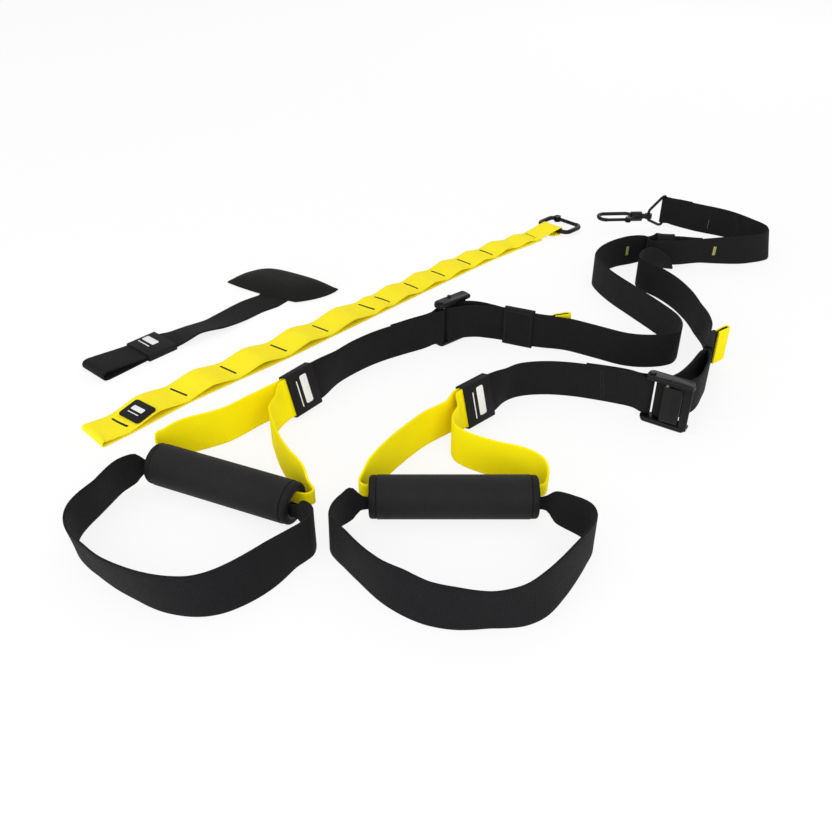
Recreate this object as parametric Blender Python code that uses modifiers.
"""A suspension trainer laid out on the floor, with its hanging strap and its door anchor beside it.

Metres, +Z up, the floor at Z = 0. The laid-out plan is drawn with +X to the right and +Y away from
the handles, and is then centred on the origin. Most straps stand on their long edge. A strap is a
ribbon along a smooth route through knots; a knot holds a point, the direction across the webbing
and the width there.
"""

import math

import bmesh
import bpy
import numpy as np
from mathutils import Matrix, Vector

# Webbing
WEBBING_WIDTH = 0.038
WEBBING_THICKNESS = 0.002
LAYER_GAP = 0.0004
STATION_STEP = 0.014
TURN_KNOTS = 7
LAYER_PITCH = WEBBING_THICKNESS + LAYER_GAP
HALF_WEB = WEBBING_WIDTH / 2

# Clearances and cuts
FIT = 0.0003
PIN_CLEARANCE = 0.0003
CUT_OVERRUN = 0.002
SEAM_LAP = 0.0005

# Grip, a foam sleeve on a plastic tube with a collar at each end
GRIP_LENGTH = 0.135
GRIP_RADIUS = 0.018
GRIP_SHOULDER = 0.0025
CORE_RADIUS = 0.0130
CORE_BORE_RADIUS = 0.0110
CAP_LENGTH = 0.006
CAP_RADIUS = 0.0172
CAP_ROUNDING = 0.003
GRIP_SIDES = 28

# Webbing where it is drawn together to go through the grip
GATHERED_OFFSET = 0.0077
RIM_OFFSET = 0.0074
MOUTH_STRAIGHT = 0.004
MOUTH_TURN = 0.0042
CRADLE_MOUTH = 0.006
CRADLE_MOUTH_WIDTH_SHARES = (1.0, 1.2)
EASE_SHARE = 0.3
MOUTH_WIDTH_SHARES = (1.0, 1.05, 1.15)
MOUTH_TURN_SHARES = ((0.5, 0.0), (1.5, 0.5), (2.0, 1.6))
FLARE_SHARES = (0.62, 0.88, 1.0)
CRADLE_FLARE_SHARES = (0.8, 0.95, 1.0)
BORE_APOTHEM = CORE_BORE_RADIUS * math.cos(math.pi / GRIP_SIDES)
GATHERED_WIDTH = 2 * math.sqrt((BORE_APOTHEM - FIT) ** 2 - (GATHERED_OFFSET + WEBBING_THICKNESS / 2) ** 2)

# Label sleeve over the joint between the yellow loop and the lower strap
SLEEVE_LENGTH = 0.034
SLEEVE_WALL = 0.0012
SLEEVE_CLEARANCE = 0.0006
SLEEVE_CORNER = 0.0015
LOOP_TUCK = 0.020
STRAP_TUCK = 0.014

# Adjustment buckle
BUCKLE_LENGTH = 0.045
BUCKLE_LEAD = 0.008
RAIL_HEIGHT = 0.005
RAIL_CLEARANCE = 0.001
FRAME_NEAR_DEPTH = 0.0095
FRAME_FAR_DEPTH = 0.0040
FRAME_CORNER = 0.003
ROUND_BAR_RADIUS = 0.0025
TURN_BAR_SETBACK = 0.0085
TURN_BAR_OFFSET = 0.001
FRONT_BAR_LENGTH = 0.008
FRONT_BAR_THICKNESS = 0.0026
FRONT_BAR_RECESS = 0.001
CAM_PIN_RADIUS = 0.0013
CAM_PIN_OFFSET = 0.0070
CAM_PIN_SETBACK = 0.001
CAM_HUB_RADIUS = 0.0025
CAM_PLATE_THICKNESS = 0.0022
CAM_PLATE_SHARE = 0.35
CAM_PLATE_GAP = 0.0008
CAM_SPRING_LENGTH = 0.0050
SPRING_WIRE = 0.0003
CAM_SPRING_TURNS = 3
GATE_SPRING_TURNS = 6
SPRING_POINTS = 9
BAR_SIDES = 14
DOUBLED_SHARE = 0.71
WINDOW_HALF = HALF_WEB + RAIL_CLEARANCE
BUCKLE_HALF = WINDOW_HALF + RAIL_HEIGHT
REAR_BAR_X = ROUND_BAR_RADIUS - BUCKLE_LENGTH / 2
WRAP_RADIUS = ROUND_BAR_RADIUS + LAYER_GAP + WEBBING_THICKNESS / 2

# Strap keeper and the yellow adjustment tab
KEEPER_LENGTH = 0.032
KEEPER_WALL = 0.0014
KEEPER_CLEARANCE = 0.0007
KEEPER_TRAVEL = 0.003
TAB_LENGTH = 0.018
TAB_THICKNESS = 0.0016

# Equalizer loop and the sewn turn round the ring's bar
LOOP_RADIUS = 0.0070
LOOP_LENGTH = 0.060
LOOP_LIFT = 0.0042
LOOP_WALL_WIDTH = 0.032
CROSSING_WIDTH = 0.022
STITCHED_LENGTH = 0.030
RING_STRAP_WIDTH = 0.035
RING_CLEARANCE = 0.0004
RING_WIRE_RADIUS = 0.0018
RING_REACH = 0.0314
RING_APEX_HALF = 0.0062
RING_HEADING = math.radians(217)
TURN_LEAD_SHARE = 2.5
RING_WRAP_RADIUS = RING_WIRE_RADIUS + LAYER_GAP + WEBBING_THICKNESS / 2
RING_BAR_HALF = RING_STRAP_WIDTH / 2 + RING_CLEARANCE + RING_WIRE_RADIUS
RING_HEIGHT = RING_BAR_HALF + RING_WIRE_RADIUS
RING_STUB = RING_WRAP_RADIUS + WEBBING_THICKNESS / 2 + RING_WIRE_RADIUS + RING_CLEARANCE

# Swivel and carabiners
SWIVEL_HEADING = math.radians(183)
LUG_RADIUS = 0.0048
LUG_THICKNESS = 0.0060
LUG_DROP = 0.0012
NECK_RADIUS = 0.0034
NECK_LENGTH = 0.009
STEM_RADIUS = 0.0021
STEM_HEAD_RADIUS = 0.0040
STEM_HEAD_THICKNESS = 0.0022
BOSS_RADIUS = 0.0064
BOSS_LENGTH = 0.014
BOSS_GAP = 0.0005
BOSS_LAP = 0.0055
CARABINER = {"length": 0.0514, "width": 0.026, "wire": 0.0025, "corner": 0.0095}
ANCHOR_CARABINER = {"length": 0.054, "width": 0.038, "wire": 0.0030, "corner": 0.0080}
KNUCKLE_SHARE = 1.5
CHEEK_SHARE = 1.2
GATE_SHARE = 0.82
TONGUE_SHARE = 0.50
TONGUE_WIDTH_SHARE = 0.70
GATE_PIN_SHARE = 0.28
GATE_BORE_SHARE = 0.42
GATE_BORE_LENGTH = 0.011
GATE_GAP = 0.0004
CORNER_STEPS = 5

# Yellow hanging strap with sewn loops, and its patch
ANCHOR_LENGTH = 0.674
ANCHOR_HEADING = math.radians(44.3)
ANCHOR_THICKNESS = 0.0018
ANCHOR_WAVE = 0.0050
ANCHOR_FOLD_RADIUS = 0.0024
PATCH_LENGTH = 0.022
PATCH_WIDTH = 0.030
PATCH_THICKNESS = 0.0008
PATCH_PLACE_SHARE = 0.07
PATCH_ASIDE = 0.003
TACK_SHARES = (0.04, 0.14, 0.23, 0.32, 0.41, 0.51, 0.55, 0.62, 0.69, 0.76, 0.82, 0.89, 0.94)
WAVE_SHARES = (0.25, 0.5, 0.75)
FULL_WAVE_SPAN = 0.062
ANCHOR_WRAP = ANCHOR_CARABINER["wire"] + LAYER_GAP + ANCHOR_THICKNESS / 2
ANCHOR_CARABINER_HEIGHT = ANCHOR_WRAP + ANCHOR_THICKNESS / 2

# Door anchor
DOOR_LENGTH = 0.249
DOOR_HEADING = math.radians(48.6)
DOOR_LOOP_RADIUS = 0.0042
DOOR_BAND_START = 0.053
DOOR_BAND_LENGTH = 0.034
DOOR_BAND_WALL = 0.0009
DOOR_BAND_CLEARANCE = 0.0007
PAD_LENGTH = 0.110
PAD_WIDTH = 0.054
PAD_THICKNESS = 0.018
PAD_EDGE_SHARE = 0.20
PAD_SKEW_SHARE = 0.3
PAD_PINCH_SHARE = 0.07
PAD_CUTS = 7
PAD_STRAP_PLACE = 0.0085
PAD_STRAP_DEPTH = 0.030
PAD_STRAP_LEAD = 0.006

# Places on the plan, each as (x, y), and headings from +X
RIGHT = {
    "side": 1,
    "grip": (0.030, 0.553),
    "grip_heading": math.radians(0.0),
    "sleeve": (0.055, 0.687),
    "sleeve_heading": math.radians(43.0),
    "sleeve_lean": math.radians(15.0),
    "buckle": (0.231, 0.683),
    "buckle_heading": math.radians(-33.0),
    "keeper": (0.289, 0.768),
    "keeper_heading": math.radians(70.0),
}
LEFT = {
    "side": -1,
    "grip": (-0.157, 0.571),
    "grip_heading": math.radians(-23.5),
    "sleeve": (-0.108, 0.706),
    "sleeve_heading": math.radians(52.0),
    "sleeve_lean": math.radians(17.0),
    "buckle": (0.040, 0.838),
    "buckle_heading": math.radians(40.0),
    "keeper": (0.108, 0.829),
    "keeper_heading": math.radians(-23.0),
}
LOOP_PLACE = (0.292, 1.0265)
RING_PLACE = (0.336, 1.157)
ANCHOR_PLACE = (-0.2995, 0.6625)
DOOR_PLACE = (-0.3245, 0.7655)
PAD_PLACE = (-0.161, 0.961)
PAD_HEADING = math.radians(-31.0)

# Routes. Cradles are in shares of the grip's length, from the grip's middle: along it, towards the
# user, and the lean of the top towards the loop's middle. The others are in shares of the straight
# line between their ends: along it, to its left, and the lean of the top to its left.
CRADLE_SHARES = {
    "right": (
        (-0.59, 0.07, 0.0), (-0.66, 0.14, 0.1), (-0.70, 0.24, 0.05), (-0.70, 0.34, 0.02),
        (-0.62, 0.45, 0.05), (-0.52, 0.58, 0.03), (-0.41, 0.70, 0.10), (-0.30, 0.78, 0.20),
        (-0.17, 0.86, 0.15), (-0.02, 0.90, 0.10), (0.16, 0.91, -0.05), (0.33, 0.88, 0.08),
        (0.44, 0.81, 0.18), (0.54, 0.70, 0.15), (0.63, 0.58, 0.10), (0.73, 0.43, 0.0),
        (0.78, 0.32, 0.0), (0.76, 0.23, 0.0), (0.68, 0.16, 0.0), (0.59, 0.10, 0.0),
    ),
    "left": (
        (-0.57, 0.10, 0.1), (-0.61, 0.20, 0.10), (-0.61, 0.31, 0.10), (-0.60, 0.43, 0.1),
        (-0.60, 0.54, 0.05), (-0.58, 0.65, 0.0), (-0.51, 0.75, -0.1), (-0.40, 0.82, -0.2),
        (-0.28, 0.86, -0.2), (-0.14, 0.90, -0.2), (0.03, 0.92, -0.15), (0.20, 0.92, -0.05),
        (0.38, 0.87, 0.06), (0.49, 0.78, 0.20), (0.58, 0.63, 0.30), (0.63, 0.50, 0.28),
        (0.68, 0.34, 0.08), (0.72, 0.22, 0.05), (0.69, 0.13, 0.0), (0.60, 0.08, 0.0),
    ),
}
LOOP_START_SHARES = {
    "right": ((0.87, 0.02), (0.70, 0.07), (0.48, 0.09), (0.28, 0.09), (0.11, 0.08), (0.03, 0.07)),
    "left": ((0.87, 0.03), (0.70, 0.03), (0.53, 0.02), (0.38, 0.05), (0.24, 0.09), (0.11, 0.10), (0.03, 0.09)),
}
LOOP_END_SHARES = {
    "right": (
        (0.90, 0.10), (0.80, 0.20), (0.68, 0.24), (0.52, 0.17), (0.37, 0.05), (0.25, -0.06),
        (0.13, -0.12), (0.05, -0.11),
    ),
    "left": (
        (0.88, 0.08), (0.77, 0.13), (0.63, 0.12), (0.41, 0.08), (0.27, 0.03), (0.15, -0.03),
        (0.06, -0.05),
    ),
}
LOWER_SHARES = {
    "right": ((0.09, 0.11), (0.17, 0.18), (0.31, 0.22), (0.50, 0.22), (0.69, 0.17)),
    "left": ((0.19, 0.06), (0.33, 0.09), (0.54, 0.10), (0.73, 0.07)),
}
BUCKLE_TO_KEEPER_SHARES = {
    "right": {
        "main": ((0.22, 0.02), (0.55, 0.0), (0.80, 0.01)),
        "tail": ((0.28, -0.18), (0.54, -0.16), (0.79, -0.11)),
    },
    "left": {"main": ((0.25, -0.07), (0.50, -0.04)), "tail": ((0.27, 0.14), (0.50, 0.11))},
}
MAIN_SHARES = {
    "right": (
        (0.08, -0.03), (0.19, -0.04), (0.29, -0.03), (0.41, -0.02), (0.57, 0.02), (0.69, 0.08),
        (0.77, 0.14), (0.83, 0.16), (0.89, 0.14), (0.94, 0.09),
    ),
    "left": (
        (0.05, -0.10), (0.07, -0.21), (0.09, -0.33), (0.14, -0.41), (0.21, -0.46), (0.28, -0.45),
        (0.33, -0.41), (0.38, -0.33), (0.46, -0.17), (0.52, -0.05), (0.58, 0.04), (0.63, 0.09),
        (0.70, 0.11), (0.77, 0.11), (0.85, 0.09), (0.92, 0.05),
    ),
}
TOP_SHARES = (
    (-0.01, -0.38), (0.01, -0.54), (0.07, -0.68, 0.2), (0.21, -0.73, 0.2), (0.39, -0.66, 0.2),
    (0.60, -0.52, 0.1), (0.80, -0.28), (0.94, -0.11),
)
# The equalizer loop's walls in shares of its length and radius, and the crossing's place along it.
LOOP_WALL_SHARES = ((0.25, 1.0), (0.55, 0.92), (0.82, 0.42))
CROSSING_SHARE = 0.26
# The crossing, from the right leg to the left: along and aside in shares of the loop's radius, height
# in shares of the rise over the far wall, the direction across the webbing, and its widening.
CROSSING_SHARES = (
    (-1.2, -2.7, 0.22, (0.62, -0.25, 0.74), 1.25), (-0.6, -2.1, 0.05, (0.97, -0.10, 0.15), 1.10),
    (-0.2, -1.5, 0.0, (1.0, 0.0, 0.0), 1.0), (0.0, -1.0, 0.0, (1.0, 0.0, 0.0), 1.0),
    (0.0, -0.35, 0.04, (1.0, 0.0, 0.0), 1.0), (0.0, -0.05, 0.22, (1.0, 0.0, 0.0), 1.0),
    (0.0, 0.0, 0.55, (1.0, 0.0, 0.0), 1.0), (0.0, 0.1, 0.88, (1.0, 0.0, 0.0), 1.0),
    (0.0, 0.5, 0.99, (1.0, 0.0, 0.0), 1.0), (0.0, 1.0, 1.0, (1.0, 0.0, 0.0), 1.0),
    (-0.1, 1.6, 0.96, (1.0, 0.0, 0.05), 1.0), (-0.6, 2.0, 0.75, (0.9, 0.0, 0.4), 1.15),
    (-2.0, 2.05, 0.50, (0.4, 0.0, 0.92), 1.45),
)
# Tail ends past the keeper in shares of the keeper's length: along it, and away from the main strap.
TAIL_SHARES = {
    "right": ((0.69, 0.11), (0.95, 0.28), (1.21, 0.45)),
    "left": ((0.97, 0.21), (1.21, 0.41), (1.46, 0.61)),
}
# The hanging strap's course in shares of its length: along it, to its left; and its width's share.
ANCHOR_SHARES = (
    (0.0, -0.014, 1.0), (0.05, -0.011, 1.0), (0.10, -0.004, 1.0), (0.16, 0.0, 1.0), (0.32, 0.0, 1.0),
    (0.42, 0.004, 0.97), (0.58, 0.010, 0.93), (0.75, 0.016, 0.92), (0.86, 0.014, 0.80),
    (0.93, 0.008, 0.72), (1.0, 0.0, 0.75),
)
# The door strap in shares of its length, with its near edge's rise in degrees.
DOOR_SHARES = ((0.40, -0.01, 6), (0.48, -0.02, 12), (0.58, -0.04, 8), (0.70, -0.03, 2), (0.81, -0.02, 0))

MATERIALS = {
    "black_webbing": ((0.016, 0.016, 0.017), 0.85, 0.0),
    "yellow_webbing": ((0.88, 0.80, 0.01), 0.80, 0.0),
    "foam": ((0.022, 0.022, 0.023), 0.75, 0.0),
    "black_plastic": ((0.020, 0.020, 0.022), 0.45, 0.0),
    "black_metal": ((0.045, 0.045, 0.050), 0.35, 0.9),
    "label": ((0.012, 0.012, 0.014), 0.60, 0.0),
}


def clear_scene():
    for old in list(bpy.data.objects):
        bpy.data.objects.remove(old, do_unlink=True)


def new_collection(name):
    made = bpy.data.collections.new(name)
    bpy.context.scene.collection.children.link(made)
    return made


def make_material(name, finish):
    colour, roughness, metallic = MATERIALS[finish]
    made = bpy.data.materials.new(f"{name}_{finish}")
    made.use_nodes = True
    shader = made.node_tree.nodes["Principled BSDF"]
    shader.inputs["Base Color"].default_value = (*colour, 1.0)
    shader.inputs["Roughness"].default_value = roughness
    shader.inputs["Metallic"].default_value = metallic
    return made


clear_scene()
PARTS = new_collection("suspension_trainer")
CUTTERS = new_collection("cutters")
PLAN = bpy.data.objects.new("plan", None)
PARTS.objects.link(PLAN)


def pose(x, y, z=0.0, heading=0.0, lean=0.0):
    """The matrix of a place: turned by its heading, then its top leaned to its left."""
    return Matrix.Translation((x, y, z)) @ Matrix.Rotation(heading, 4, "Z") @ Matrix.Rotation(-lean, 4, "X")


def joint_empty(name, matrix):
    """An empty on a joint's axis, its local X along the axis."""
    empty = bpy.data.objects.new(name, None)
    empty.matrix_basis = matrix
    empty.parent = PLAN
    PARTS.objects.link(empty)
    return empty


def add_object(name, mesh, finish, matrix=None, parent=None):
    """A piece whose mesh is in the frame of matrix, carried by parent, which stands on a joint."""
    obj = bpy.data.objects.new(name, mesh)
    mesh.materials.append(make_material(name, finish))
    obj.matrix_basis = matrix or Matrix.Identity(4)
    obj.parent = parent or PLAN
    if parent:
        obj.matrix_parent_inverse = parent.matrix_basis.inverted()
    PARTS.objects.link(obj)
    return obj


def mesh_from(bm, name):
    bmesh.ops.recalc_face_normals(bm, faces=bm.faces)
    mesh = bpy.data.meshes.new(name)
    bm.to_mesh(mesh)
    bm.free()
    return mesh


def smooth_object(obj, angle=math.radians(40)):
    obj.data.shade_smooth()
    obj.data.set_sharp_from_angle(angle=angle)
    return obj


# Knots and routes


def knot(point, across=(0.0, 0.0, 1.0), width=WEBBING_WIDTH):
    return np.array([*point, *across, width], dtype=float)


def knot_in(matrix, point, across=(0.0, 0.0, 1.0), width=WEBBING_WIDTH):
    """A knot given in a local frame."""
    world = matrix @ Vector(point)
    turned_across = matrix.to_3x3() @ Vector(across)
    return knot(world, turned_across, width)


def smooth(knots, step=STATION_STEP):
    """A centripetal Catmull-Rom curve through the knots, with its stations about one step apart."""
    rows = np.array(knots)
    rows = np.vstack([2 * rows[0] - rows[1], rows, 2 * rows[-1] - rows[-2]])
    out = []
    for p0, p1, p2, p3 in zip(rows, rows[1:], rows[2:], rows[3:]):
        gaps = [math.sqrt(np.linalg.norm((b - a)[:3])) for a, b in ((p0, p1), (p1, p2), (p2, p3))]
        t0, t1 = 0.0, gaps[0]
        t2 = t1 + gaps[1]
        t3 = t2 + gaps[2]
        count = max(1, math.ceil(np.linalg.norm((p2 - p1)[:3]) / step))
        for t in np.linspace(t1, t2, count, endpoint=False):
            a1 = (t1 - t) / (t1 - t0) * p0 + (t - t0) / (t1 - t0) * p1
            a2 = (t2 - t) / (t2 - t1) * p1 + (t - t1) / (t2 - t1) * p2
            a3 = (t3 - t) / (t3 - t2) * p2 + (t - t2) / (t3 - t2) * p3
            b1 = (t2 - t) / (t2 - t0) * a1 + (t - t0) / (t2 - t0) * a2
            b2 = (t3 - t) / (t3 - t1) * a2 + (t - t1) / (t3 - t1) * a3
            out.append((t2 - t) / (t2 - t1) * b1 + (t - t1) / (t2 - t1) * b2)
    out.append(rows[-2])
    return out


def frames_of(path):
    """Unit tangents, across directions and left-hand normals along a path."""
    rows = np.array(path)
    along = np.gradient(rows[:, :3], axis=0)
    along /= np.linalg.norm(along, axis=1)[:, None]
    across = rows[:, 3:6] - (rows[:, 3:6] * along).sum(axis=1)[:, None] * along
    across /= np.linalg.norm(across, axis=1)[:, None]
    return along, across, np.cross(across, along)


def shifted(path, distance):
    """The same path moved to its left by a distance, as a second layer of webbing lies."""
    normals = frames_of(path)[2]
    rows = np.array(path)
    rows[:, :3] += distance * normals
    return list(rows)


def between(start, end, shares, z_start=HALF_WEB, z_end=HALF_WEB, rests=True):
    """Knots at shares of the line from start to end: along it, and to its left.

    Heights ease from z_start down to the floor and up to z_end, or run straight where nothing rests.
    """
    start, end = np.array(start[:2]), np.array(end[:2])
    line = end - start
    left = np.array([-line[1], line[0]])
    knots = []
    for i, (along, aside, *leaning) in enumerate(shares):
        t = (i + 1) / (len(shares) + 1)
        z = z_start + (z_end - z_start) * t
        if rests:
            leaving = max(0.0, 1 - t / EASE_SHARE) ** 2
            arriving = max(0.0, 1 - (1 - t) / EASE_SHARE) ** 2
            z = HALF_WEB + (z_start - HALF_WEB) * leaving + (z_end - HALF_WEB) * arriving
        over = sum(leaning) * left / np.linalg.norm(left)
        knots.append(knot((*(start + along * line + aside * left), z), (*over, 1.0)))
    return knots


def half_turn(matrix, centre, radius, side, across=(0.0, 0.0, 1.0), width=WEBBING_WIDTH, bulge="-x"):
    """Knots of a half turn round a centre, from its side through the bulge direction to the other side."""
    sign = -1 if bulge == "-x" else 1
    out = []
    for i in range(TURN_KNOTS):
        angle = math.pi * i / (TURN_KNOTS - 1)
        x = centre[0] + sign * radius * math.sin(angle)
        y = centre[1] + side * radius * math.cos(angle)
        out.append(knot_in(matrix, (x, y, centre[2]), across, width))
    return out


def ribbon(name, path, finish, thickness=WEBBING_THICKNESS, parent=None):
    """A strip along the path, as wide as its knots say and clear of the floor, walled by Solidify."""
    rows = np.array(path)
    across = frames_of(path)[1]
    upright = np.abs(across[:, 2])
    lowest = rows[:, 6] / 2 * upright + thickness / 2 * np.sqrt(np.maximum(0.0, 1 - upright**2))
    rows[:, 2] = np.maximum(rows[:, 2], lowest)
    bm = bmesh.new()
    half = rows[:, 6:7] / 2 * across
    low = [bm.verts.new(p) for p in rows[:, :3] - half]
    high = [bm.verts.new(p) for p in rows[:, :3] + half]
    for i in range(len(low) - 1):
        bm.faces.new((low[i], low[i + 1], high[i + 1], high[i]))
    mesh = mesh_from(bm, name)
    obj = add_object(name, mesh, finish, parent=parent)
    wall = obj.modifiers.new("thickness", "SOLIDIFY")
    wall.thickness = thickness
    wall.offset = 0.0
    return obj


# Turned, drawn and box-like shapes


def turned(name, profile, finish, matrix, parent=None, sides=GRIP_SIDES):
    """A closed profile of (along, radius) turned about the local X axis with a Screw."""
    area = sum(a[0] * b[1] - b[0] * a[1] for a, b in zip(profile, profile[1:] + profile[:1]))
    if area < 0:
        profile = profile[::-1]
    mesh = bpy.data.meshes.new(name)
    count = len(profile)
    mesh.from_pydata([(r, 0.0, x) for x, r in profile], [(i, (i + 1) % count) for i in range(count)], [])
    along = matrix @ Matrix.Rotation(math.pi / 2, 4, "Y")
    obj = add_object(name, mesh, finish, along, parent)
    screw = obj.modifiers.new("turn", "SCREW")
    screw.axis = "Z"
    screw.steps = screw.render_steps = sides
    screw.use_merge_vertices = True
    screw.merge_threshold = SEAM_LAP / 10
    screw.use_smooth_shade = True
    return obj


def cylinder_mesh(name, radius, length, sides=BAR_SIDES):
    """A solid cylinder along Z, centred on the origin."""
    bm = bmesh.new()
    bmesh.ops.create_cone(
        bm, cap_ends=True, segments=sides, radius1=radius, radius2=radius, depth=length
    )
    return mesh_from(bm, name)


def box_mesh(name, low, high, bevel=0.0, edges_along=None):
    """A box between two corners; the edges along one axis may be bevelled."""
    bm = bmesh.new()
    bmesh.ops.create_cube(bm, size=1.0)
    low, high = Vector(low), Vector(high)
    bmesh.ops.scale(bm, vec=high - low, verts=bm.verts)
    bmesh.ops.translate(bm, vec=(low + high) / 2, verts=bm.verts)
    if bevel:
        picked = [
            e for e in bm.edges if abs((e.verts[0].co - e.verts[1].co).normalized()[edges_along]) > 0.9
        ]
        bmesh.ops.bevel(bm, geom=picked, offset=bevel, segments=2, profile=0.5, affect="EDGES")
    return mesh_from(bm, name)


def cutter(name, mesh, matrix):
    obj = bpy.data.objects.new(name, mesh)
    obj.matrix_basis = matrix
    obj.parent = PLAN
    obj.hide_render = True
    obj.display_type = "WIRE"
    CUTTERS.objects.link(obj)
    return obj


def combine(obj, other, operation):
    """Adds a Boolean; the other object is a cutter or a helper solid."""
    step = obj.modifiers.new(other.name, "BOOLEAN")
    step.operation = operation
    step.solver = "EXACT"
    step.object = other


def wire_mesh(name, points, radius, cyclic=False, resolution=2):
    """A round wire through the points, made a mesh with its caps welded."""
    curve = bpy.data.curves.new(name + "_line", "CURVE")
    curve.dimensions = "3D"
    spline = curve.splines.new("POLY")
    spline.points.add(len(points) - 1)
    for target, point in zip(spline.points, points):
        target.co = (*point, 1.0)
    spline.use_cyclic_u = cyclic
    curve.bevel_depth = radius
    curve.bevel_resolution = resolution
    curve.use_fill_caps = not cyclic
    helper = bpy.data.objects.new(name + "_line", curve)
    bpy.context.scene.collection.objects.link(helper)
    graph = bpy.context.evaluated_depsgraph_get()
    mesh = bpy.data.meshes.new_from_object(helper.evaluated_get(graph))
    bpy.data.objects.remove(helper, do_unlink=True)
    bm = bmesh.new()
    bm.from_mesh(mesh)
    bmesh.ops.remove_doubles(bm, verts=bm.verts, dist=radius / 50)
    return mesh_from(bm, name)


def spring_mesh(name, radius, start, end, turns):
    """A coil round local Z; its least gap to itself is measured on its points and printed."""
    count = turns * SPRING_POINTS
    points = []
    for i in range(count + 1):
        angle = math.tau * i / SPRING_POINTS
        points.append((radius * math.cos(angle), radius * math.sin(angle), start + (end - start) * i / count))
    rows = np.array(points)
    apart = [
        np.linalg.norm(rows[i + SPRING_POINTS // 2 + 1 :] - rows[i], axis=1).min()
        for i in range(count - SPRING_POINTS // 2)
    ]
    print(f"{name}: least gap to itself {(min(apart) - 2 * SPRING_WIRE) * 1000:.2f} mm")
    return wire_mesh(name, points, SPRING_WIRE, resolution=0)


def band(name, length, inner_height, inner_gap, wall, finish, matrix, corner, parent=None):
    """A flat sleeve open at both ends: a rounded outline swept along local X, walled by Solidify."""
    half_y, half_z = inner_gap / 2 + wall / 2, inner_height / 2 + wall / 2
    corner = min(corner, half_y, half_z)
    outline = []
    for cy, cz, first in ((1, 1, 0), (-1, 1, 90), (-1, -1, 180), (1, -1, 270)):
        for turn in (0, 45, 90):
            angle = math.radians(first + turn)
            outline.append((
                cy * (half_y - corner) + corner * math.cos(angle),
                cz * (half_z - corner) + corner * math.sin(angle),
            ))
    bm = bmesh.new()
    ring = [bm.verts.new((-length / 2, y, z)) for y, z in outline]
    edges = [bm.edges.new((a, b)) for a, b in zip(ring, ring[1:] + ring[:1])]
    swept = bmesh.ops.extrude_edge_only(bm, edges=edges)["geom"]
    far = [item for item in swept if isinstance(item, bmesh.types.BMVert)]
    bmesh.ops.translate(bm, vec=(length, 0.0, 0.0), verts=far)
    obj = add_object(name, mesh_from(bm, name), finish, matrix, parent)
    solid = obj.modifiers.new("wall", "SOLIDIFY")
    solid.thickness = wall
    solid.offset = 0.0
    solid.use_even_offset = True
    return obj


# Sub-assemblies


def make_grip(which, place):
    """Foam sleeve, plastic tube and two collars, which turn together on the webbing inside."""
    frame = pose(*place["grip"], GRIP_RADIUS, place["grip_heading"])
    carrier = joint_empty(f"{which}_grip_axis", frame)
    half = GRIP_LENGTH / 2
    foam_half = half - CAP_LENGTH - FIT
    inner = CORE_RADIUS + FIT
    shoulder = GRIP_RADIUS - GRIP_SHOULDER / 2
    turned(
        f"{which}_foam_grip",
        [
            (-foam_half, inner), (-foam_half, shoulder), (-foam_half + GRIP_SHOULDER, GRIP_RADIUS),
            (foam_half - GRIP_SHOULDER, GRIP_RADIUS), (foam_half, shoulder), (foam_half, inner),
        ],
        "foam", frame, carrier,
    )
    turned(
        f"{which}_grip_tube",
        [(-half, CORE_BORE_RADIUS), (-half, CORE_RADIUS), (half, CORE_RADIUS), (half, CORE_BORE_RADIUS)],
        "black_plastic", frame, carrier,
    )
    for end, sign in (("inner", -1), ("outer", 1)):
        start, stop = sign * (half - CAP_LENGTH), sign * half
        profile = [
            (start, inner), (start, CAP_RADIUS), (stop - sign * CAP_ROUNDING, CAP_RADIUS),
            (stop - sign * CAP_ROUNDING * 0.3, CAP_RADIUS - CAP_ROUNDING * 0.3),
            (stop, CAP_RADIUS - CAP_ROUNDING), (stop, inner),
        ]
        turned(f"{which}_grip_collar_{end}", profile, "black_plastic", frame, carrier)
    return frame


def mouth_knots(frame, end):
    """The yellow loop's knots from inside one end of the tube, end being -1 or 1, round its rim."""
    mouth = end * GRIP_LENGTH / 2
    y = GATHERED_OFFSET
    knots = [knot_in(frame, (mouth - end * MOUTH_STRAIGHT, y, 0.0), width=GATHERED_WIDTH)]
    for (out, aside), widening in zip(MOUTH_TURN_SHARES, MOUTH_WIDTH_SHARES):
        point = (mouth + end * MOUTH_TURN * out, y + MOUTH_TURN * aside, 0.0)
        knots.append(knot_in(frame, point, width=GATHERED_WIDTH * widening))
    return knots


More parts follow.
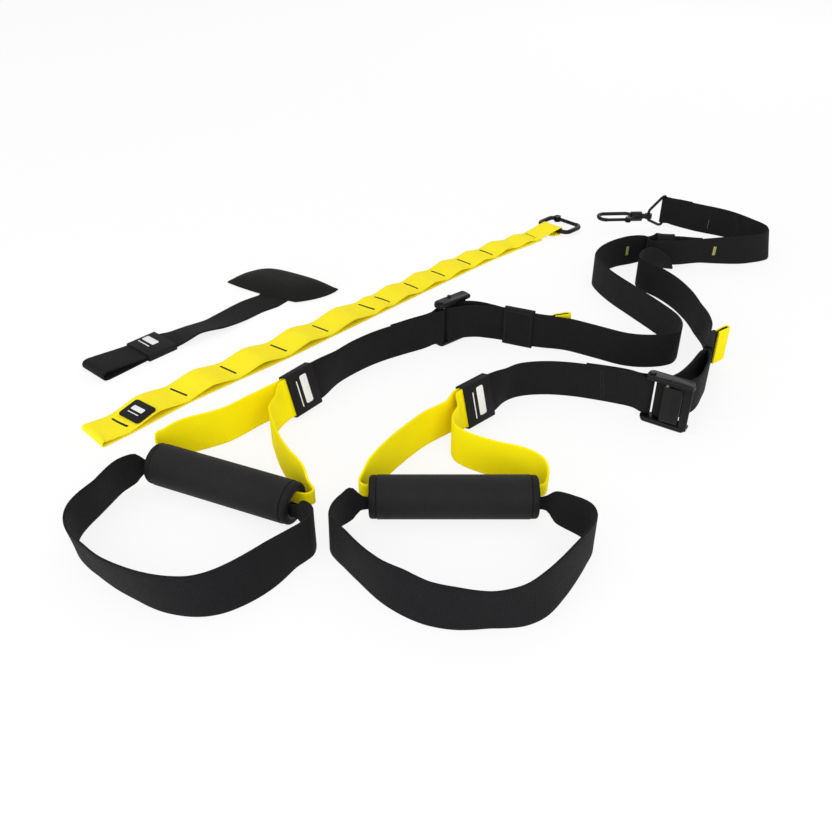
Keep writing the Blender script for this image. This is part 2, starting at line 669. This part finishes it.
def make_cradle(which, place, frame):
    """The black foot loop: through the tube and round towards the user, standing on its edge."""
    carrier = joint_empty(f"{which}_cradle_axis", frame.copy())
    mouth = GRIP_LENGTH / 2
    inside = mouth - MOUTH_STRAIGHT
    shares = CRADLE_SHARES[which]
    middle = np.mean(shares, axis=0)[:2]
    rise = HALF_WEB - GRIP_RADIUS

    def gathered(x, widening=1.0):
        return knot_in(frame, (x, -GATHERED_OFFSET, 0.0), width=GATHERED_WIDTH * widening)

    outward = list(zip((mouth + MOUTH_TURN / 2, mouth + CRADLE_MOUTH), CRADLE_MOUTH_WIDTH_SHARES))
    knots = [gathered(inside), gathered(-inside), *(gathered(-x, widening) for x, widening in outward)]
    for i, (along, aside, lean) in enumerate(shares):
        from_end = min(i, len(shares) - 1 - i)
        width = WEBBING_WIDTH * CRADLE_FLARE_SHARES[min(from_end, len(CRADLE_FLARE_SHARES) - 1)]
        inward = middle - (along, aside)
        inward *= lean / np.linalg.norm(inward)
        point = (along * GRIP_LENGTH, -aside * GRIP_LENGTH, rise)
        knots.append(knot_in(frame, point, (inward[0], -inward[1], 1.0), width))
    knots += [gathered(x, widening) for x, widening in reversed(outward)]
    knots.append(gathered(inside + 2 * FIT))
    return ribbon(f"{which}_foot_cradle", smooth(knots), "black_webbing", parent=carrier)


def sleeve_frame(place):
    """The sleeve's middle, as high as its leaning section needs to rest on the floor."""
    half_height = HALF_WEB + SLEEVE_CLEARANCE + SLEEVE_WALL
    half_depth = LAYER_PITCH + WEBBING_THICKNESS / 2 + SLEEVE_CLEARANCE + SLEEVE_WALL
    lean = place["sleeve_lean"]
    height = half_height * math.cos(lean) + half_depth * math.sin(lean)
    return pose(*place["sleeve"], height, place["sleeve_heading"], lean)


def make_handle_loop(which, place, frame):
    """The yellow loop: from the sleeve to the grip, through the tube, and back to the sleeve."""
    sleeve = sleeve_frame(place)
    mouth_x = -SLEEVE_LENGTH / 2
    layers = []
    for y in (LAYER_PITCH, -LAYER_PITCH):
        layers.append([knot_in(sleeve, (x, y, 0.0)) for x in (mouth_x + LOOP_TUCK, mouth_x, mouth_x - MOUTH_TURN)])
    first_layer, last_layer = layers
    runs = []
    for end, layer, shares in ((-1, first_layer, LOOP_START_SHARES), (1, last_layer, LOOP_END_SHARES)):
        rim = frame @ Vector((end * GRIP_LENGTH / 2, RIM_OFFSET, 0.0))
        run = list(reversed(between(rim, layer[1], shares[which][::-1], rim.z, sleeve.translation.z)))
        run[-1][2] = GRIP_RADIUS
        for row, flare in zip(reversed(run), FLARE_SHARES):
            row[6] = WEBBING_WIDTH * flare
        runs.append(run)
    knots = first_layer + runs[0] + list(reversed(mouth_knots(frame, -1)))
    knots += mouth_knots(frame, 1) + list(reversed(runs[1])) + list(reversed(last_layer))
    return ribbon(f"{which}_handle_loop", smooth(knots), "yellow_webbing")


def make_sleeve(which, place):
    gap = 2 * LAYER_PITCH + WEBBING_THICKNESS + 2 * SLEEVE_CLEARANCE
    height = WEBBING_WIDTH + 2 * SLEEVE_CLEARANCE
    band(
        f"{which}_label_sleeve", SLEEVE_LENGTH, height, gap, SLEEVE_WALL, "label",
        sleeve_frame(place), SLEEVE_CORNER,
    )


def buckle_frame(place):
    """The buckle stands on its long rail; local X runs from the lower strap towards the main strap."""
    return pose(*place["buckle"], BUCKLE_HALF, place["buckle_heading"])


def make_buckle(which, place):
    """Die-cast frame with a rear bar, a turning bar and a front bar, and the cam on its pin."""
    frame = buckle_frame(place)
    side = place["side"]
    low_y, high_y = sorted((-side * FRAME_NEAR_DEPTH, side * FRAME_FAR_DEPTH))
    half = BUCKLE_LENGTH / 2
    name = f"{which}_buckle_frame"
    outer = box_mesh(name, (-half, low_y, -BUCKLE_HALF), (half, high_y, BUCKLE_HALF), FRAME_CORNER, 1)
    body = add_object(name, outer, "black_metal", frame)
    over = CUT_OVERRUN
    window = box_mesh(
        "window", (-half - over, low_y - over, -WINDOW_HALF), (half + over, high_y + over, WINDOW_HALF)
    )
    combine(body, cutter(f"{which}_window", window, frame), "DIFFERENCE")
    height = 2 * WINDOW_HALF + RAIL_HEIGHT
    for bar, x, y in (("rear", REAR_BAR_X, 0.0), ("turning", -TURN_BAR_SETBACK, side * TURN_BAR_OFFSET)):
        mesh = cylinder_mesh(bar, ROUND_BAR_RADIUS, height)
        combine(body, cutter(f"{which}_{bar}_bar", mesh, frame @ Matrix.Translation((x, y, 0))), "UNION")
    outer_y = -side * (FRAME_NEAR_DEPTH - FRONT_BAR_RECESS)
    front_y = sorted((outer_y, outer_y + side * FRONT_BAR_THICKNESS))
    front = box_mesh(
        "front", (half - FRONT_BAR_LENGTH, front_y[0], -height / 2), (half - SEAM_LAP, front_y[1], height / 2)
    )
    combine(body, cutter(f"{which}_front_bar", front, frame), "UNION")
    pin_frame = frame @ Matrix.Translation((-CAM_PIN_SETBACK, -side * CAM_PIN_OFFSET, 0))
    bore = cylinder_mesh("bore", CAM_PIN_RADIUS + PIN_CLEARANCE, 2 * BUCKLE_HALF + 2 * over)
    combine(body, cutter(f"{which}_pin_bore", bore, pin_frame), "DIFFERENCE")
    pin = cylinder_mesh("pin", CAM_PIN_RADIUS, 2 * BUCKLE_HALF - RAIL_HEIGHT)
    add_object(f"{which}_cam_pin", pin, "black_metal", pin_frame)
    make_cam(which, place, pin_frame)


def make_cam(which, place, pin_frame):
    """The lever, a hub on the pin with a plate that covers the window up to the front bar."""
    side = place["side"]
    carrier = joint_empty(f"{which}_cam_axis", pin_frame @ Matrix.Rotation(side * math.pi / 2, 4, "Y"))
    top = WINDOW_HALF - CAM_PLATE_GAP
    hub_top = top - CAM_SPRING_LENGTH - CAM_PLATE_GAP
    hub = cylinder_mesh("hub", CAM_HUB_RADIUS, hub_top + top)
    lever = add_object(
        f"{which}_cam_lever", hub, "black_plastic",
        pin_frame @ Matrix.Translation((0, 0, (hub_top - top) / 2)), carrier,
    )
    reach = BUCKLE_LENGTH / 2 - FRONT_BAR_LENGTH - CAM_PLATE_GAP + CAM_PIN_SETBACK
    middle = -side * CAM_PLATE_THICKNESS * CAM_PLATE_SHARE
    low_y, high_y = middle - CAM_PLATE_THICKNESS / 2, middle + CAM_PLATE_THICKNESS / 2
    plate = box_mesh("plate", (0.0, low_y, SEAM_LAP - top), (reach, high_y, hub_top - SEAM_LAP))
    combine(lever, cutter(f"{which}_cam_plate", plate, pin_frame), "UNION")
    bore = cylinder_mesh("hub_bore", CAM_PIN_RADIUS + PIN_CLEARANCE, 2 * BUCKLE_HALF)
    combine(lever, cutter(f"{which}_hub_bore", bore, pin_frame), "DIFFERENCE")
    radius = CAM_PIN_RADIUS + PIN_CLEARANCE + SPRING_WIRE
    spring = spring_mesh(f"{which}_cam_spring", radius, hub_top + CAM_PLATE_GAP, top, CAM_SPRING_TURNS)
    add_object(f"{which}_cam_spring", spring, "black_metal", pin_frame)


def make_lower_strap(which, place):
    """From the sleeve to the buckle's rear bar, round it and back, sewn down on itself."""
    sleeve, buckle = sleeve_frame(place), buckle_frame(place)
    mouth_x = SLEEVE_LENGTH / 2
    start = [knot_in(sleeve, (x, 0.0, 0.0)) for x in (mouth_x - STRAP_TUCK, mouth_x + MOUTH_TURN)]
    rear = buckle @ Vector((REAR_BAR_X, 0.0, 0.0))
    run = between(start[1], rear, LOWER_SHARES[which], sleeve.translation.z, rear.z)
    setback = REAR_BAR_X - TURN_LEAD_SHARE * WRAP_RADIUS
    arriving = [knot_in(buckle, (x, -LAYER_PITCH / 2, 0.0)) for x in (setback - BUCKLE_LEAD, setback)]
    route = smooth([*start, *run, *arriving])
    wrap = half_turn(buckle, (REAR_BAR_X, 0.0, 0.0), WRAP_RADIUS, -1, bulge="+x")
    back = list(reversed(shifted(route[int(len(route) * DOUBLED_SHARE) :], LAYER_PITCH)))
    return ribbon(f"{which}_lower_strap", smooth(route + wrap + back), "black_webbing")


def keeper_frame(place):
    height = HALF_WEB + KEEPER_CLEARANCE + KEEPER_WALL
    return pose(*place["keeper"], height, place["keeper_heading"])


def make_keeper(which, place):
    """The elastic band that holds the two runs of the main strap together."""
    frame = keeper_frame(place)
    carrier = joint_empty(f"{which}_keeper_axis", frame)
    gap = LAYER_PITCH + WEBBING_THICKNESS + 2 * KEEPER_CLEARANCE
    height = WEBBING_WIDTH + 2 * KEEPER_CLEARANCE
    band(
        f"{which}_keeper", KEEPER_LENGTH, height, gap, KEEPER_WALL, "black_webbing", frame,
        SLEEVE_CORNER, carrier,
    )


def keeper_knots(place, offset):
    """A straight run through the keeper, as long as the keeper and its travel."""
    frame = keeper_frame(place)
    reach = KEEPER_LENGTH / 2 + KEEPER_TRAVEL + KEEPER_CLEARANCE
    return [knot_in(frame, (x, offset, 0.0)) for x in (-reach, 0.0, reach)]


def leg_knots(which, place):
    """One leg of the main strap, from its tail end through the buckle to the run above the keeper."""
    side = place["side"]
    buckle, keeper = buckle_frame(place), keeper_frame(place)
    tail_offset = -side * LAYER_PITCH / 2
    tail_end = [
        knot_in(keeper, (along * KEEPER_LENGTH, -side * aside * KEEPER_LENGTH, HALF_WEB - keeper.translation.z))
        for along, aside in TAIL_SHARES[which]
    ]
    runs = {}
    entry = keeper @ Vector((-KEEPER_LENGTH / 2, 0.0, 0.0))
    for layer, shares in BUCKLE_TO_KEEPER_SHARES[which].items():
        runs[layer] = between(buckle.translation, entry, shares, BUCKLE_HALF, entry.z, rests=False)
        for row in runs[layer]:
            if (buckle.inverted() @ Vector(row[:3])).x < BUCKLE_LENGTH / 2 + BUCKLE_LEAD:
                row[2] = BUCKLE_HALF
    bar_y = side * TURN_BAR_OFFSET
    bar = (-TURN_BAR_SETBACK, bar_y, 0.0)
    arriving = knot_in(buckle, (ROUND_BAR_RADIUS, bar_y - side * WRAP_RADIUS, 0.0))
    wrap = half_turn(buckle, bar, WRAP_RADIUS, -side, bulge="-x")
    knots = tail_end[::-1] + keeper_knots(place, tail_offset)[::-1] + runs["tail"][::-1]
    return knots + [arriving] + wrap + runs["main"] + keeper_knots(place, -tail_offset)


def make_tab(which, leg):
    """Yellow webbing folded round the end of the tail."""
    path = smooth(leg)
    end = path[0]
    along = np.array(path[0][:3]) - np.array(path[1][:3])
    heading = math.atan2(along[1], along[0])
    frame = pose(*end[:3], heading)
    fold = WEBBING_THICKNESS / 2 + LAYER_GAP + TAB_THICKNESS / 2
    back = -TAB_LENGTH + fold
    points = [(x, fold) for x in (back, back / 2, 0.0)]
    for i in range(1, TURN_KNOTS - 1):
        angle = math.pi * i / (TURN_KNOTS - 1)
        points.append((fold * math.sin(angle), fold * math.cos(angle)))
    points += [(x, -fold) for x in (0.0, back / 2, back)]
    knots = [knot_in(frame, (x + LAYER_GAP, y, 0.0)) for x, y in points]
    ribbon(f"{which}_adjuster_tab", smooth(knots), "yellow_webbing", thickness=TAB_THICKNESS)


def crossing_knots():
    """The main strap's middle, drawn together: flat under the near wall, up the loop and over the far one."""
    x, y = LOOP_PLACE
    x += LOOP_LENGTH * CROSSING_SHARE
    radius = LOOP_RADIUS
    low = WEBBING_THICKNESS / 2 + FIT
    top = LOOP_LIFT + LOOP_WALL_WIDTH + LAYER_GAP + WEBBING_THICKNESS / 2
    rows = []
    for out, aside, height, across, widening in CROSSING_SHARES:
        point = (x + out * radius, y + aside * radius, low + height * (top - low))
        rows.append(knot(point, across, CROSSING_WIDTH * widening))
    return rows


def make_main_strap():
    """One webbing from tail to tail: up one leg, through the equalizer loop and down the other."""
    crossing = crossing_knots()
    legs = {}
    for which, meeting in (("left", crossing[-1]), ("right", crossing[0])):
        leg = leg_knots(which, SIDES[which])
        make_tab(which, leg)
        legs[which] = leg + between(leg[-1], meeting, MAIN_SHARES[which], leg[-1][2])
    knots = legs["left"] + crossing[::-1] + legs["right"][::-1]
    ribbon("main_strap", smooth(knots), "black_webbing")


def make_top_strap():
    """The equalizer loop, sewn shut, and the run over to the ring, turned round its bar and sewn."""
    x, y = LOOP_PLACE
    lift = LOOP_WALL_WIDTH / 2 + LOOP_LIFT
    half_pitch = LAYER_PITCH / 2
    walls = [(along * LOOP_LENGTH, aside * LOOP_RADIUS) for along, aside in LOOP_WALL_SHARES]
    walls.append((LOOP_LENGTH, half_pitch))
    far = [knot((x + along, y + aside, lift), width=LOOP_WALL_WIDTH) for along, aside in reversed(walls)]
    near = [knot((x + along, y - aside, lift), width=LOOP_WALL_WIDTH) for along, aside in walls]
    turn = half_turn(pose(x, y), (0.0, 0.0, lift), LOOP_RADIUS, 1, width=LOOP_WALL_WIDTH)
    run = between(near[-1], RING_PLACE, TOP_SHARES, lift, RING_HEIGHT)
    arrival_heading = math.atan2(RING_PLACE[1] - run[-1][1], RING_PLACE[0] - run[-1][0])
    bar = pose(*RING_PLACE, 0.0, arrival_heading)
    setback = -TURN_LEAD_SHARE * RING_WRAP_RADIUS
    arrival = knot_in(bar, (setback, half_pitch, RING_HEIGHT), width=RING_STRAP_WIDTH)
    run[-1][6] = (RING_STRAP_WIDTH + WEBBING_WIDTH) / 2
    path = smooth([near[-1], *run, arrival])
    wrap = half_turn(bar, (0.0, 0.0, RING_HEIGHT), RING_WRAP_RADIUS, 1, width=RING_STRAP_WIDTH, bulge="+x")
    rows = np.array(path)
    from_end = np.cumsum(np.linalg.norm(np.diff(rows[:, :3], axis=0), axis=1)[::-1])
    doubled = int(np.searchsorted(from_end, STITCHED_LENGTH)) + 1
    back = list(reversed(shifted(path[-doubled:], -LAYER_PITCH)))
    ribbon("top_strap", smooth(far + turn + near[:-1] + path + wrap + back), "black_webbing")


def carabiner_outline(size):
    """Wire centres from the hinge round the far side to the nose, in the local XY plane."""
    wire, corner = size["wire"], size["corner"]
    x_end = size["length"] / 2 - wire
    y_end = size["width"] / 2 - wire
    x_flat, y_flat = x_end - corner, y_end - corner
    points = [(-x_flat, y_end, 0.0)]
    quarters = ((-1, 1, 90), (-1, -1, 180), (1, -1, 270), (1, 1, 0))
    for x_side, y_side, first in quarters:
        for i in range(CORNER_STEPS + 1):
            angle = math.radians(first + 90 * i / CORNER_STEPS)
            point = (
                x_side * x_flat + corner * math.cos(angle), y_side * y_flat + corner * math.sin(angle), 0.0
            )
            if math.dist(point, points[-1]) > SEAM_LAP:
                points.append(point)
    return points, x_flat, y_end


def make_carabiner(prefix, frame, size, parent, boss=False):
    """A drawn-wire body with its long way along local X, and a pinned, sprung gate on local +Y."""
    wire = size["wire"]
    points, x_flat, y_end = carabiner_outline(size)
    knuckle = wire * KNUCKLE_SHARE
    cheek = wire * CHEEK_SHARE
    gate_radius = wire * GATE_SHARE
    tongue = wire * TONGUE_SHARE
    pin_radius = wire * GATE_PIN_SHARE
    body = add_object(f"{prefix}_body", wire_mesh(prefix, points, wire), "black_metal", frame, parent)
    hinge = frame @ Matrix.Translation((-x_flat, y_end, 0.0))
    disc = cylinder_mesh("knuckle", knuckle, 2 * cheek)
    combine(body, cutter(f"{prefix}_knuckle", disc, hinge), "UNION")
    if boss:
        middle = Matrix.Translation((BOSS_LENGTH / 2 - size["length"] / 2 - BOSS_LENGTH + BOSS_LAP, 0, 0))
        boss_frame = frame @ middle @ Matrix.Rotation(math.pi / 2, 4, "Y")
        solid = cylinder_mesh("boss", BOSS_RADIUS, BOSS_LENGTH, GRIP_SIDES)
        combine(body, cutter(f"{prefix}_boss", solid, boss_frame), "UNION")
        hole = cylinder_mesh("stem_bore", STEM_RADIUS + PIN_CLEARANCE, 2 * BOSS_LENGTH)
        combine(body, cutter(f"{prefix}_stem_bore", hole, boss_frame), "DIFFERENCE")
    over = CUT_OVERRUN
    slot = box_mesh(
        "slot", (-gate_radius - 2 * FIT, -knuckle - over, -tongue - FIT), (knuckle + over, knuckle + over, tongue + FIT)
    )
    combine(body, cutter(f"{prefix}_slot", slot, hinge), "DIFFERENCE")
    bore = cylinder_mesh("pin_bore", pin_radius + PIN_CLEARANCE, 2 * cheek + 2 * over)
    combine(body, cutter(f"{prefix}_pin_bore", bore, hinge), "DIFFERENCE")
    pin = cylinder_mesh("pin", pin_radius, 2 * cheek - 2 * FIT)
    add_object(f"{prefix}_gate_pin", pin, "black_metal", hinge, parent)
    start, end = knuckle + GATE_GAP, 2 * x_flat - GATE_GAP
    along = Matrix.Rotation(math.pi / 2, 4, "Y")
    carrier = joint_empty(f"{prefix}_gate_axis", hinge @ along)
    rod = cylinder_mesh("rod", gate_radius, end - start)
    gate = add_object(
        f"{prefix}_gate", rod, "black_metal", hinge @ Matrix.Translation(((start + end) / 2, 0, 0)) @ along, carrier
    )
    half_tongue = gate_radius * TONGUE_WIDTH_SHARE
    strip = box_mesh("tongue", (0.0, -half_tongue, -tongue), (start + wire, half_tongue, tongue))
    combine(gate, cutter(f"{prefix}_tongue", strip, hinge), "UNION")
    eye = cylinder_mesh("eye", gate_radius, 2 * tongue - SEAM_LAP / 2)
    combine(gate, cutter(f"{prefix}_eye", eye, hinge), "UNION")
    combine(gate, cutter(f"{prefix}_eye_bore", bore, hinge), "DIFFERENCE")
    bore_radius = wire * GATE_BORE_SHARE
    bore_end = start + GATE_BORE_LENGTH
    spring_hole = cylinder_mesh("spring_bore", bore_radius, bore_end)
    hole_frame = hinge @ Matrix.Translation((bore_end / 2, 0, 0)) @ along
    combine(gate, cutter(f"{prefix}_spring_bore", spring_hole, hole_frame), "DIFFERENCE")
    spring = spring_mesh(
        f"{prefix}_gate_spring", bore_radius - FIT - SPRING_WIRE, pin_radius + 2 * FIT + SPRING_WIRE,
        bore_end - FIT - SPRING_WIRE, GATE_SPRING_TURNS,
    )
    add_object(f"{prefix}_gate_spring", spring, "black_metal", hinge @ along, carrier)


def make_top_hardware():
    """The triangular ring in the strap's turn, the swivel stem on its point, and the carabiner."""
    frame = pose(*RING_PLACE, RING_HEIGHT, RING_HEADING)
    upright = Matrix.Rotation(-math.pi / 2, 4, "Y")
    ring_carrier = joint_empty("ring_axis", frame @ upright)
    corners = [
        (0.0, -RING_BAR_HALF), (0.0, RING_BAR_HALF), (RING_STUB, RING_BAR_HALF), (RING_REACH, RING_APEX_HALF),
        (RING_REACH, -RING_APEX_HALF), (RING_STUB, -RING_BAR_HALF),
    ]
    points = []
    for (x0, z0), (x1, z1) in zip(corners, corners[1:] + corners[:1]):
        length = math.dist((x0, z0), (x1, z1))
        for share in (RING_WIRE_RADIUS / length, 1 - RING_WIRE_RADIUS / length):
            points.append((x0 + (x1 - x0) * share, 0.0, z0 + (z1 - z0) * share))
    ring = wire_mesh("ring", points, RING_WIRE_RADIUS, cyclic=True)
    add_object("triangle_ring", ring, "black_metal", frame, ring_carrier)
    apex = frame @ Vector((RING_REACH, 0.0, -LUG_DROP))
    lug_frame = pose(*apex, SWIVEL_HEADING)
    stem_carrier = joint_empty("stem_axis", lug_frame @ upright)
    stem = add_object(
        "swivel_stem", cylinder_mesh("lug", LUG_RADIUS, LUG_THICKNESS, GRIP_SIDES), "black_metal", lug_frame,
        stem_carrier,
    )
    along = Matrix.Rotation(math.pi / 2, 4, "Y")
    boss_start = NECK_LENGTH + BOSS_GAP
    boss_end = boss_start + BOSS_LENGTH
    head_start = boss_end + BOSS_GAP
    turned_parts = (
        ("neck", NECK_RADIUS, LUG_RADIUS / 2, NECK_LENGTH),
        ("stem_rod", STEM_RADIUS, LUG_RADIUS / 2, head_start + SEAM_LAP),
        ("stem_head", STEM_HEAD_RADIUS, head_start, head_start + STEM_HEAD_THICKNESS),
    )
    for name, radius, start, end in turned_parts:
        middle = lug_frame @ Matrix.Translation(((start + end) / 2, 0, 0)) @ along
        combine(stem, cutter(name, cylinder_mesh(name, radius, end - start), middle), "UNION")
    hole = cylinder_mesh("ring_hole", RING_WIRE_RADIUS + PIN_CLEARANCE, LUG_THICKNESS + CUT_OVERRUN)
    combine(stem, cutter("stem_ring_hole", hole, lug_frame), "DIFFERENCE")
    swivel = joint_empty("swivel_axis", lug_frame)
    middle_x = boss_end - BOSS_LAP + CARABINER["length"] / 2
    make_carabiner("carabiner", lug_frame @ Matrix.Translation((middle_x, 0, 0)), CARABINER, swivel, boss=True)


def anchor_wave(x):
    """How high the upper layer of the hanging strap stands above the lower, between the tacks."""
    tacks = [share * ANCHOR_LENGTH for share in TACK_SHARES]
    for start, end in zip(tacks, tacks[1:]):
        if start <= x <= end:
            height = ANCHOR_WAVE * min(1.0, (end - start) / FULL_WAVE_SPAN)
            return height * math.sin(math.pi * (x - start) / (end - start)) ** 2
    return 0.0


def anchor_knot(frame, x, z, width=WEBBING_WIDTH, aside=0.0):
    """A knot of the hanging strap's course, lying flat."""
    places, asides, widths = zip(*ANCHOR_SHARES)
    place = x / ANCHOR_LENGTH
    aside += ANCHOR_LENGTH * np.interp(place, places, asides)
    return knot_in(frame, (x, aside, z), (0.0, 1.0, 0.0), width * np.interp(place, places, widths))


def make_anchor():
    """The yellow hanging strap, doubled and tacked into hand loops, with its own carabiner."""
    frame = pose(*ANCHOR_PLACE, 0.0, ANCHOR_HEADING)
    carrier = joint_empty("suspension_anchor_axis", frame @ Matrix.Rotation(-math.pi / 2, 4, "Y"))
    fold, wrap = ANCHOR_FOLD_RADIUS, ANCHOR_WRAP
    low = ANCHOR_THICKNESS / 2
    top = low + ANCHOR_THICKNESS + LAYER_GAP
    end = ANCHOR_LENGTH
    lead = TURN_LEAD_SHARE * wrap
    tacks = [share * ANCHOR_LENGTH for share in TACK_SHARES]
    knots = [anchor_knot(frame, x, low) for x in (end - 3 * lead, *reversed(tacks[:-2]), tacks[0] / 2)]
    for i in range(TURN_KNOTS):
        angle = math.pi * i / (TURN_KNOTS - 1)
        knots.append(anchor_knot(frame, fold - fold * math.sin(angle), low + fold * (1 - math.cos(angle))))
    for x, onward in zip(tacks, tacks[1:] + [None]):
        knots.append(anchor_knot(frame, x, top))
        if onward:
            for share in WAVE_SHARES:
                between_tacks = x + share * (onward - x)
                knots.append(anchor_knot(frame, between_tacks, top + anchor_wave(between_tacks)))
    height = ANCHOR_CARABINER_HEIGHT
    for i in range(TURN_KNOTS):
        angle = math.pi * i / (TURN_KNOTS - 1)
        x, z = end + wrap * math.sin(angle), height + wrap * math.cos(angle)
        knots.append(anchor_knot(frame, x, z))
    knots.append(anchor_knot(frame, end - 2 * lead, low))
    ribbon("suspension_anchor_strap", smooth(knots), "yellow_webbing", ANCHOR_THICKNESS, carrier)
    patch = []
    for share in (-0.5, 0.0, 0.5):
        x = PATCH_PLACE_SHARE * ANCHOR_LENGTH + share * PATCH_LENGTH
        z = top + anchor_wave(x) + ANCHOR_THICKNESS / 2 + LAYER_GAP + PATCH_THICKNESS
        patch.append(anchor_knot(frame, x, z, PATCH_WIDTH, -PATCH_ASIDE))
    ribbon("suspension_anchor_patch", smooth(patch), "label", PATCH_THICKNESS, carrier)
    spine = ANCHOR_CARABINER["width"] / 2 - ANCHOR_CARABINER["wire"]
    hook = frame @ Matrix.Translation((end, 0.0, height)) @ Matrix.Rotation(-math.pi / 2, 4, "Z")
    make_carabiner("suspension_anchor_carabiner", hook @ Matrix.Translation((0, spine, 0)), ANCHOR_CARABINER, carrier)


def make_door_anchor():
    """The door strap with its sewn loop and label band, and the pad that stays behind the door."""
    frame = pose(*DOOR_PLACE, 0.0, DOOR_HEADING)
    carrier = joint_empty("door_anchor_axis", frame @ Matrix.Rotation(-math.pi / 2, 4, "Y"))
    low = WEBBING_THICKNESS / 2
    in_band = DOOR_BAND_WALL + DOOR_BAND_CLEARANCE + low
    band_middle = DOOR_BAND_START + DOOR_BAND_LENGTH / 2
    band_end = DOOR_BAND_START + DOOR_BAND_LENGTH
    flat = (0.0, 1.0, 0.0)
    pad_frame = pose(*PAD_PLACE, 0.0, PAD_HEADING)
    pad_edge = -PAD_WIDTH / 2
    knots = [
        knot_in(pad_frame, (PAD_STRAP_PLACE, y, low), (-1.0, 0.0, 0.0))
        for y in (pad_edge + PAD_STRAP_DEPTH, pad_edge, pad_edge - PAD_STRAP_LEAD)
    ]
    for along, aside, rise in reversed(DOOR_SHARES):
        tilt = math.radians(rise)
        point = (along * DOOR_LENGTH, aside * DOOR_LENGTH, low + HALF_WEB * math.sin(tilt))
        knots.append(knot_in(frame, point, (0.0, math.cos(tilt), -math.sin(tilt))))
    knots += [knot_in(frame, (x, 0.0, in_band), flat) for x in (band_end, DOOR_BAND_START)]
    radius = DOOR_LOOP_RADIUS
    for i in range(TURN_KNOTS):
        angle = math.pi * i / (TURN_KNOTS - 1)
        knots.append(knot_in(frame, (radius - radius * math.sin(angle), 0.0, low + radius * (1 - math.cos(angle))), flat))
    upper = in_band + LAYER_PITCH
    knots += [knot_in(frame, (x, 0.0, upper), flat) for x in (DOOR_BAND_START, band_middle)]
    ribbon("door_anchor_strap", smooth(knots), "black_webbing", parent=carrier)
    band_height = DOOR_BAND_WALL + DOOR_BAND_CLEARANCE + WEBBING_THICKNESS / 2 + LAYER_PITCH / 2 + low
    lying = frame @ Matrix.Translation((band_middle, 0.0, band_height - low)) @ Matrix.Rotation(math.pi / 2, 4, "X")
    band(
        "door_anchor_label_band", DOOR_BAND_LENGTH, WEBBING_WIDTH + 2 * DOOR_BAND_CLEARANCE,
        LAYER_PITCH + WEBBING_THICKNESS + 2 * DOOR_BAND_CLEARANCE, DOOR_BAND_WALL, "label", lying,
        SLEEVE_CORNER, carrier,
    )
    make_pad(pad_frame, carrier)


def make_pad(pad_frame, carrier):
    """A sewn cushion with a crowned top and drawn-in sides, recessed underneath for the strap."""
    bm = bmesh.new()
    bmesh.ops.create_cube(bm, size=1.0)
    bmesh.ops.subdivide_edges(bm, edges=bm.edges, cuts=PAD_CUTS, use_grid_fill=True)
    for vertex in bm.verts:
        u, v, w = (2 * value for value in vertex.co)
        crown = (1 - abs(u) ** 2.5) * (1 - abs(v) ** 2.5)
        thickness = PAD_EDGE_SHARE + (1 - PAD_EDGE_SHARE) * crown
        upper = PAD_THICKNESS * thickness
        vertex.co.z = upper if w > 0.99 else (w + 1) / 2 * upper
        vertex.co.x = u * PAD_LENGTH / 2 * (1 - PAD_PINCH_SHARE * (1 - v**2)) + v * PAD_SKEW_SHARE * PAD_WIDTH / 2
        vertex.co.y = v * PAD_WIDTH / 2 * (1 - PAD_PINCH_SHARE * (1 - u**2))
    mesh = mesh_from(bm, "door_anchor_pad")
    pad = smooth_object(add_object("door_anchor_pad", mesh, "foam", pad_frame, carrier))
    half = HALF_WEB + LAYER_GAP
    recess = box_mesh(
        "recess", (PAD_STRAP_PLACE - half, -PAD_WIDTH, -CUT_OVERRUN),
        (PAD_STRAP_PLACE + half, PAD_STRAP_DEPTH + LAYER_GAP - PAD_WIDTH / 2, WEBBING_THICKNESS + LAYER_GAP),
    )
    combine(pad, cutter("pad_recess", recess, pad_frame), "DIFFERENCE")


SIDES = {"left": LEFT, "right": RIGHT}


def centre_plan():
    """Moves the plan so that its box stands on the origin."""
    bpy.context.view_layer.update()
    graph = bpy.context.evaluated_depsgraph_get()
    corners = []
    for obj in PARTS.objects:
        if obj.type == "MESH":
            evaluated = obj.evaluated_get(graph)
            corners += [evaluated.matrix_world @ vertex.co for vertex in evaluated.data.vertices]
    rows = np.array(corners)
    middle = (rows.min(axis=0) + rows.max(axis=0)) / 2
    PLAN.location = (-middle[0], -middle[1], -rows[:, 2].min())
    bpy.context.view_layer.update()


def main():
    for which, place in SIDES.items():
        grip = make_grip(which, place)
        make_cradle(which, place, grip)
        make_handle_loop(which, place, grip)
        make_sleeve(which, place)
        make_buckle(which, place)
        make_lower_strap(which, place)
        make_keeper(which, place)
    make_main_strap()
    make_top_strap()
    make_top_hardware()
    make_anchor()
    make_door_anchor()
    centre_plan()


main()
